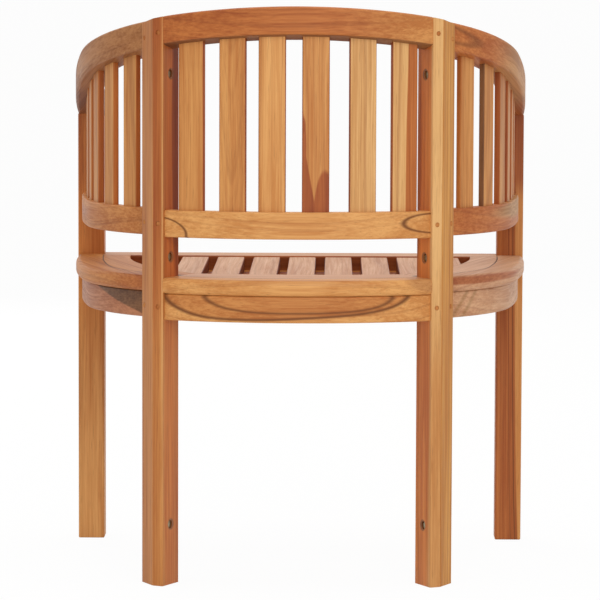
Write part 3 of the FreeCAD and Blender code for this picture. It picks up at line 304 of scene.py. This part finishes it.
teak("lower_rail_center", False, "golden", 4.0, (-190, 40), ring=0.2, wander=3, marks=(
    line((175, -14, 22), 24, soft=1.8, weights=(0.3, 1, 1), strength=0.9),
    line((-195, 2, 0), 13.5, soft=2, weights=(0.28, 1, 0), strength=0.9)))
teak("lower_rail_left", False, "amber", 5.0, (-150, 40), marks=(
    inside((90, 2, 0), 9, "rosy", soft=3, weights=(0.09, 1, 0)),))
teak("lower_rail_right", False, "russet", 6.0, (-150, 40), marks=(
    inside((-60, 8, 0), 14, "tan", soft=4, weights=(0.09, 1, 0), strength=0.9),))

# Posts and legs: the rear edge of each back leg is paler, and painted shade darkens a ring around each
# bolt recess
LEG_MIDDLE = 396.8
BOLT_HEIGHTS = (85.0, 460.0, 714.4)
BOLT_SHADE = tuple(inside((height - LEG_MIDDLE, 0, 0), 8.0, "smoke", soft=1.2, weights=FLAT, strength=0.75,
                      still=True) for height in BOLT_HEIGHTS)
teak("back_leg_left", True, "russet", 11.0, (60, 120), marks=(
    # The ember upper half, and the copper upper half of the rear face, are painted shade: the post is
    # darker under the top rail than below the seat.
    inside((400, 0, 0), 400, "ember", soft=60, weights=ALONG),
    beyond((0, -300, 0), 292, "flame", soft=6, strength=0.5),
    beyond((0, -300, 0), 317, "amber", soft=3),
    inside((400, 23, 0), 400, "copper", soft=60, weights=(1, 30, 0), strength=0.8),
    # The rust strip along the front of the inner face is partly painted shade, partly darker heartwood.
    inside((240, -23, 0), 19, "rust", soft=3, weights=(0.08, 1, 0)),
    inside((240, 23, -7.75), 9, "heart", soft=4, weights=(0.03, 1, 1), strength=0.8),
    # The straw line along one rear arris is a painted highlight, where the rounded edge catches the
    # light.
    inside((60, 23, 7.75), 2.2, "straw", soft=1, weights=(0.006, 1, 1), strength=0.6, still=True),
    *BOLT_SHADE))
teak("side_leg_left", True, "amber", 12.0, (-65, 120), pitch=5, ring=0.45)
teak("back_leg_right", True, "flame", 13.0, (60, 120), marks=(
    inside((400, 0, 0), 400, "blaze", soft=60, weights=ALONG),
    # The rust strip along the front of the inner face is partly painted shade, partly darker heartwood.
    inside((240, 23, 0), 13, "rust", soft=3, weights=(0.055, 1, 0), strength=0.6),
    inside((0, -300, 0), 283, "straw", soft=3),
    inside((-400, -23, 0), 330, "honey", soft=60, weights=(1, 30, 0), strength=0.6),
    *BOLT_SHADE))
teak("side_leg_right", True, "corn", 14.0, (-65, 120), pitch=5, ring=0.4)
teak("front_leg_left", True, "honey", 15.0, (90, 150), marks=(
    inside((330, 0, 0), 330, "blaze", soft=120, weights=ALONG, strength=0.6),
    inside((330, 0, 0), 130, "heart", soft=25, weights=ALONG, strength=0.5),
    inside((-330, 0, 0), 180, "golden", soft=100, weights=ALONG, strength=0.7)))
teak("front_leg_right", True, "copper", 16.0, (70, 150), wander=1.5, marks=(
    inside((120, -60, 0), 52.5, "golden", soft=1.2, weights=(0.06, 1, 0)),
    line((120, -60, 0), 56, weights=(0.06, 1, 0)),
    line((120, -60, 0), 62, weights=(0.06, 1, 0), strength=0.5),
    inside((330, 0, 0), 130, "heart", soft=25, weights=ALONG, strength=0.9)))

# Back slats, from the sitter's left, with painted shade in the heart tone on their side faces
teak("back_slat_1", True, "honey", 21.0, (4, -160), taper=0.02, edge="heart")
teak("back_slat_2", True, "honey", 22.0, (2, -30), taper=-0.05, pitch=5, edge="heart")
teak("back_slat_3", True, "golden", 23.0, (-130, -100), taper=0.01, edge="heart")
teak("back_slat_4", True, "honey", 24.0, (120, -140), taper=0.01, wander=3, edge="heart", marks=(
    beyond((0, -300, 0), 321.6, "heart", soft=1, taper=-0.185),
    inside((-30, 19, 0), 5.7, "heart", soft=0.8, weights=(0.12, 1, 0)),
    inside((0, 18, 0), 3.5, "rust", soft=1, weights=(0.3, 1, 0), strength=0.7),
    inside((-140, -13, 0), 17, "heart", soft=1, weights=(0.22, 1, 0))))
teak("back_slat_5", True, "straw", 25.0, (130, -50), taper=0.01, edge="heart")
teak("back_slat_6", True, "straw", 26.0, (-140, -50), taper=0.01, wander=3, edge="heart", marks=(
    inside((0, -303, 0), 300, "copper", soft=1, taper=0.015),))

# Side slats, from the post forward: the sides' seeds, and the tones of the painted shade on their side
# faces
SIDE_SHADES = (("left", 0, ("copper",) * 7), ("right", 10, ("amber", "smoke", *("heart",) * 5)))
for side, shift, edges in SIDE_SHADES:
    for number, edge in enumerate(edges, start=1):
        teak(f"side_slat_{side}_{number}", True, "honey", 40.0 + shift + number,
             (90 * math.sin(3 * number + shift), -95), taper=0.02, edge=edge)

# Aprons
teak("apron_rear", False, "golden", 61.0, (60, -30), pitch=6, ring=0.25, wander=2, marks=(
    inside((0, 30, -36), 42.4, "amber", taper=-0.0445),
    line((0, 30, -36), 42.4, soft=3.2, taper=-0.0445, strength=0.9),
    line((0, 22, -38), 27.7, soft=2.6, strength=0.8)))
teak("apron_left", False, "rosy", 62.0, (-150, 40), marks=(
    beyond((0, -300, 0), 340.4, "smoke", weights=LEVEL, taper=-0.27),))
teak("apron_right", False, "blush", 63.0, (-150, 40), marks=(
    line((0, -300, 0), 541, soft=9, weights=LEVEL, taper=1.3, strength=0.45, colour=OLIVE_TONE),
    line((0, -300, 0), 517, soft=9, weights=LEVEL, taper=1.3, strength=0.45, colour=OLIVE_TONE)))
teak("apron_front", False, "honey", 64.0, (-150, 40))

# Seat: each seam's rear and front arc in plan, in mm, and slats with painted shade on their sides
SLAT_WIDTH = 40
SLAT_SHADE_FROM = SLAT_WIDTH / 2 - SIDE_SHADE_DEPTH
LEFT_SEAM = (((26.0, -44.7, 0), 253.6), ((-999.1, -225.5, 0), 1294.6))
RIGHT_SEAM = (((-26.0, -44.7, 0), 253.6), ((999.1, -225.5, 0), 1294.6))
REAR_SEAM = (((0, -142, 0), 372.1), ((0, -142, 0), 372.1))
teak("seat_border_rear", False, "golden", 71.0, (-120, -60), marks=(
    inside((-200, 8, 0), 14, "umber", soft=2, weights=(0.3, 1, 0), strength=0.6),))
teak("seat_border_left", False, "amber", 72.0, (-120, -60), marks=(
    inside((-210, 0, 0), 40, "heart", soft=40, weights=ALONG, strength=0.7),))
teak("seat_border_right", False, "blush", 73.0, (-120, -60), wander=2, marks=(
    inside((150, 4.5, 0), 5.5, "heart", weights=(0.036, 1, 0), strength=0.85),))
teak("seat_frame_rear", False, "blush", 74.0, (-60, -120), seam=REAR_SEAM)
teak("seat_frame_left", False, "amber", 75.0, (-60, -120), seam=LEFT_SEAM)
teak("seat_frame_right", False, "blush", 76.0, (-60, -120), seam=RIGHT_SEAM)
# The rear face of the front rail, just above the slats, takes the heart tone as painted shade.
teak("seat_front_rail", False, "blush", 77.0, (-60, 110), marks=(
    inside((0, 0, -300), 269.5, "heart", soft=0.5, weights=THROUGH, still=True),))
for number in range(1, 10):
    teak(f"seat_slat_{number}", False, "blush", 80.0 + number, (-90, 90 * math.sin(2 * number)), marks=(
        beyond((0, 0, 0), SLAT_SHADE_FROM, "rust", soft=SIDE_SHADE_DEPTH / 2, weights=THROUGH, still=True),))
# The bearers' dark heart tone is painted shade, down in the gaps below the slats.
for number, place in enumerate(("front", "middle", "rear")):
    teak(f"seat_bearer_{place}", False, "heart", 95.0 + number, (40, 120))

# Pegs: turned teak
teak("tenon_pegs", True, "amber", 99.0, (10, 10), pitch=3)

# Clouds of plating or tarnish in mm
TARNISH_SIZE = 2


def turned(name, colour, roughness, pieces):
    """Turned metal with a soft, slightly cloudy gleam."""
    material, tree = new_material(name)
    place = add(tree, "TexCoord").outputs["Object"]
    cloud = add(tree, "TexNoise", {"Vector": place, "Scale": 1 / (TARNISH_SIZE * MM),
                                   "Detail": 3.0}).outputs[0]
    dull = add(tree, "MapRange", {0: cloud, 1: STREAK_RANGE[0], 2: STREAK_RANGE[1], 3: roughness - 0.08,
                                  4: roughness + 0.1}).outputs[0]
    light, dark = (paint(code) for code in colour)
    tint = add(tree, "Mix", {0: cloud, 6: light, 7: dark}, data_type="RGBA").outputs[2]
    bump = add(tree, "Bump", {"Strength": 0.1, "Distance": 0.05 * MM, "Height": cloud}).outputs[0]
    skin = add(tree, "BsdfPrincipled", {"Base Color": tint, "Metallic": 1.0, "Roughness": dull,
                                        "Normal": bump})
    add(tree, "OutputMaterial", {"Surface": skin.outputs[0]})
    for piece in pieces:
        dress(nodes[piece], material)


# Zinc-plated steel: yellowish grey with a soft gleam
turned("zinc_plated_steel", ("#B5A98A", "#7F7458"), 0.32, ("frame_bolts", "slat_screws"))

# Turned brass: yellow and a little dull
turned("turned_brass", ("#D9B870", "#A98A4A"), 0.35, ("threaded_inserts",))


def direct_look(tree):
    """One where the camera looks straight, in a gleam or through glass."""
    path = add(tree, "LightPath")
    both = add(tree, "Math", {0: path.outputs["Is Camera Ray"], 1: path.outputs["Is Glossy Ray"]},
               operation="MAXIMUM")
    return add(tree, "Math", {0: both.outputs[0], 1: path.outputs["Is Transmission Ray"]},
               operation="MAXIMUM").outputs[0]


# Floor: plain and pale, white to the camera but still shaded by the chair
FLOOR_SIZE = 400
FLOOR_DROP = 0.2 * MM
FLOOR_WHITE = 0.95
bpy.ops.mesh.primitive_plane_add(size=FLOOR_SIZE, location=(0, 0, -FLOOR_DROP))
floor = bpy.context.object
floor.name = "studio_floor"
material, tree = new_material("white_floor")
matte = add(tree, "BsdfDiffuse", {"Color": paint("#F4F3F1")})
white = add(tree, "Emission", {"Color": (1, 1, 1, 1), "Strength": 1.0})
seen = add(tree, "Math", {0: direct_look(tree), 1: FLOOR_WHITE}, operation="MULTIPLY")
surface = add(tree, "MixShader", {0: seen.outputs[0], 1: matte.outputs[0], 2: white.outputs[0]})
add(tree, "OutputMaterial", {"Surface": surface.outputs[0]})
floor.data.materials.append(material)

# Studio light: an even white room, a soft key lamp on the camera's right, one above and a fill in front
ROOM_LIGHT = 0.62
world = bpy.data.worlds.new("studio")
bpy.context.scene.world = world
world.use_nodes = True
tree = world.node_tree
tree.nodes.clear()
room = add(tree, "Background", {"Color": (1, 1, 1, 1), "Strength": ROOM_LIGHT})
backdrop = add(tree, "Background", {"Color": (1, 1, 1, 1), "Strength": 1.0})
mixed = add(tree, "MixShader", {0: direct_look(tree), 1: room.outputs[0], 2: backdrop.outputs[0]})
add(tree, "OutputWorld", {"Surface": mixed.outputs[0]})


def soft_lamp(name, place, target, size, power, gleam=True):
    """A square lamp that faces its target; one with no gleam leaves no glare on the seat."""
    lamp = bpy.data.lights.new(name, "AREA")
    lamp.shape = "SQUARE"
    lamp.size = size
    lamp.energy = power
    holder = bpy.data.objects.new(name, lamp)
    bpy.context.scene.collection.objects.link(holder)
    holder.location = place
    holder.visible_glossy = gleam
    holder.rotation_euler = (Vector(target) - Vector(place)).to_track_quat("-Z", "Y").to_euler()


soft_lamp("key", (-0.6, 3.8, 2.2), (0, 0, 0.45), 2.6, 62)
soft_lamp("top", (0, -0.2, 3.2), (0, 0, 0.4), 2.2, 34)
soft_lamp("front_fill", (1.4, -3.6, 1.8), (0, 0, 0.4), 2.4, 40, gleam=False)

# Camera: straight behind the chair and a little above it
CAMERA_ROLL = math.radians(0.2)
eye = Vector((-0.052, 5.3586, 0.846))
gaze = Vector((34.7, -3696.5, -319.5))
camera = bpy.data.cameras.new("camera")
camera.lens = 223.0
camera.sensor_width = 36.0
holder = bpy.data.objects.new("camera", camera)
bpy.context.scene.collection.objects.link(holder)
holder.location = eye
level = gaze.to_track_quat("-Z", "Y").to_matrix()
holder.rotation_euler = (level @ Matrix.Rotation(CAMERA_ROLL, 3, "Z")).to_euler()
bpy.context.scene.camera = holder
bpy.context.scene.view_settings.view_transform = "Standard"
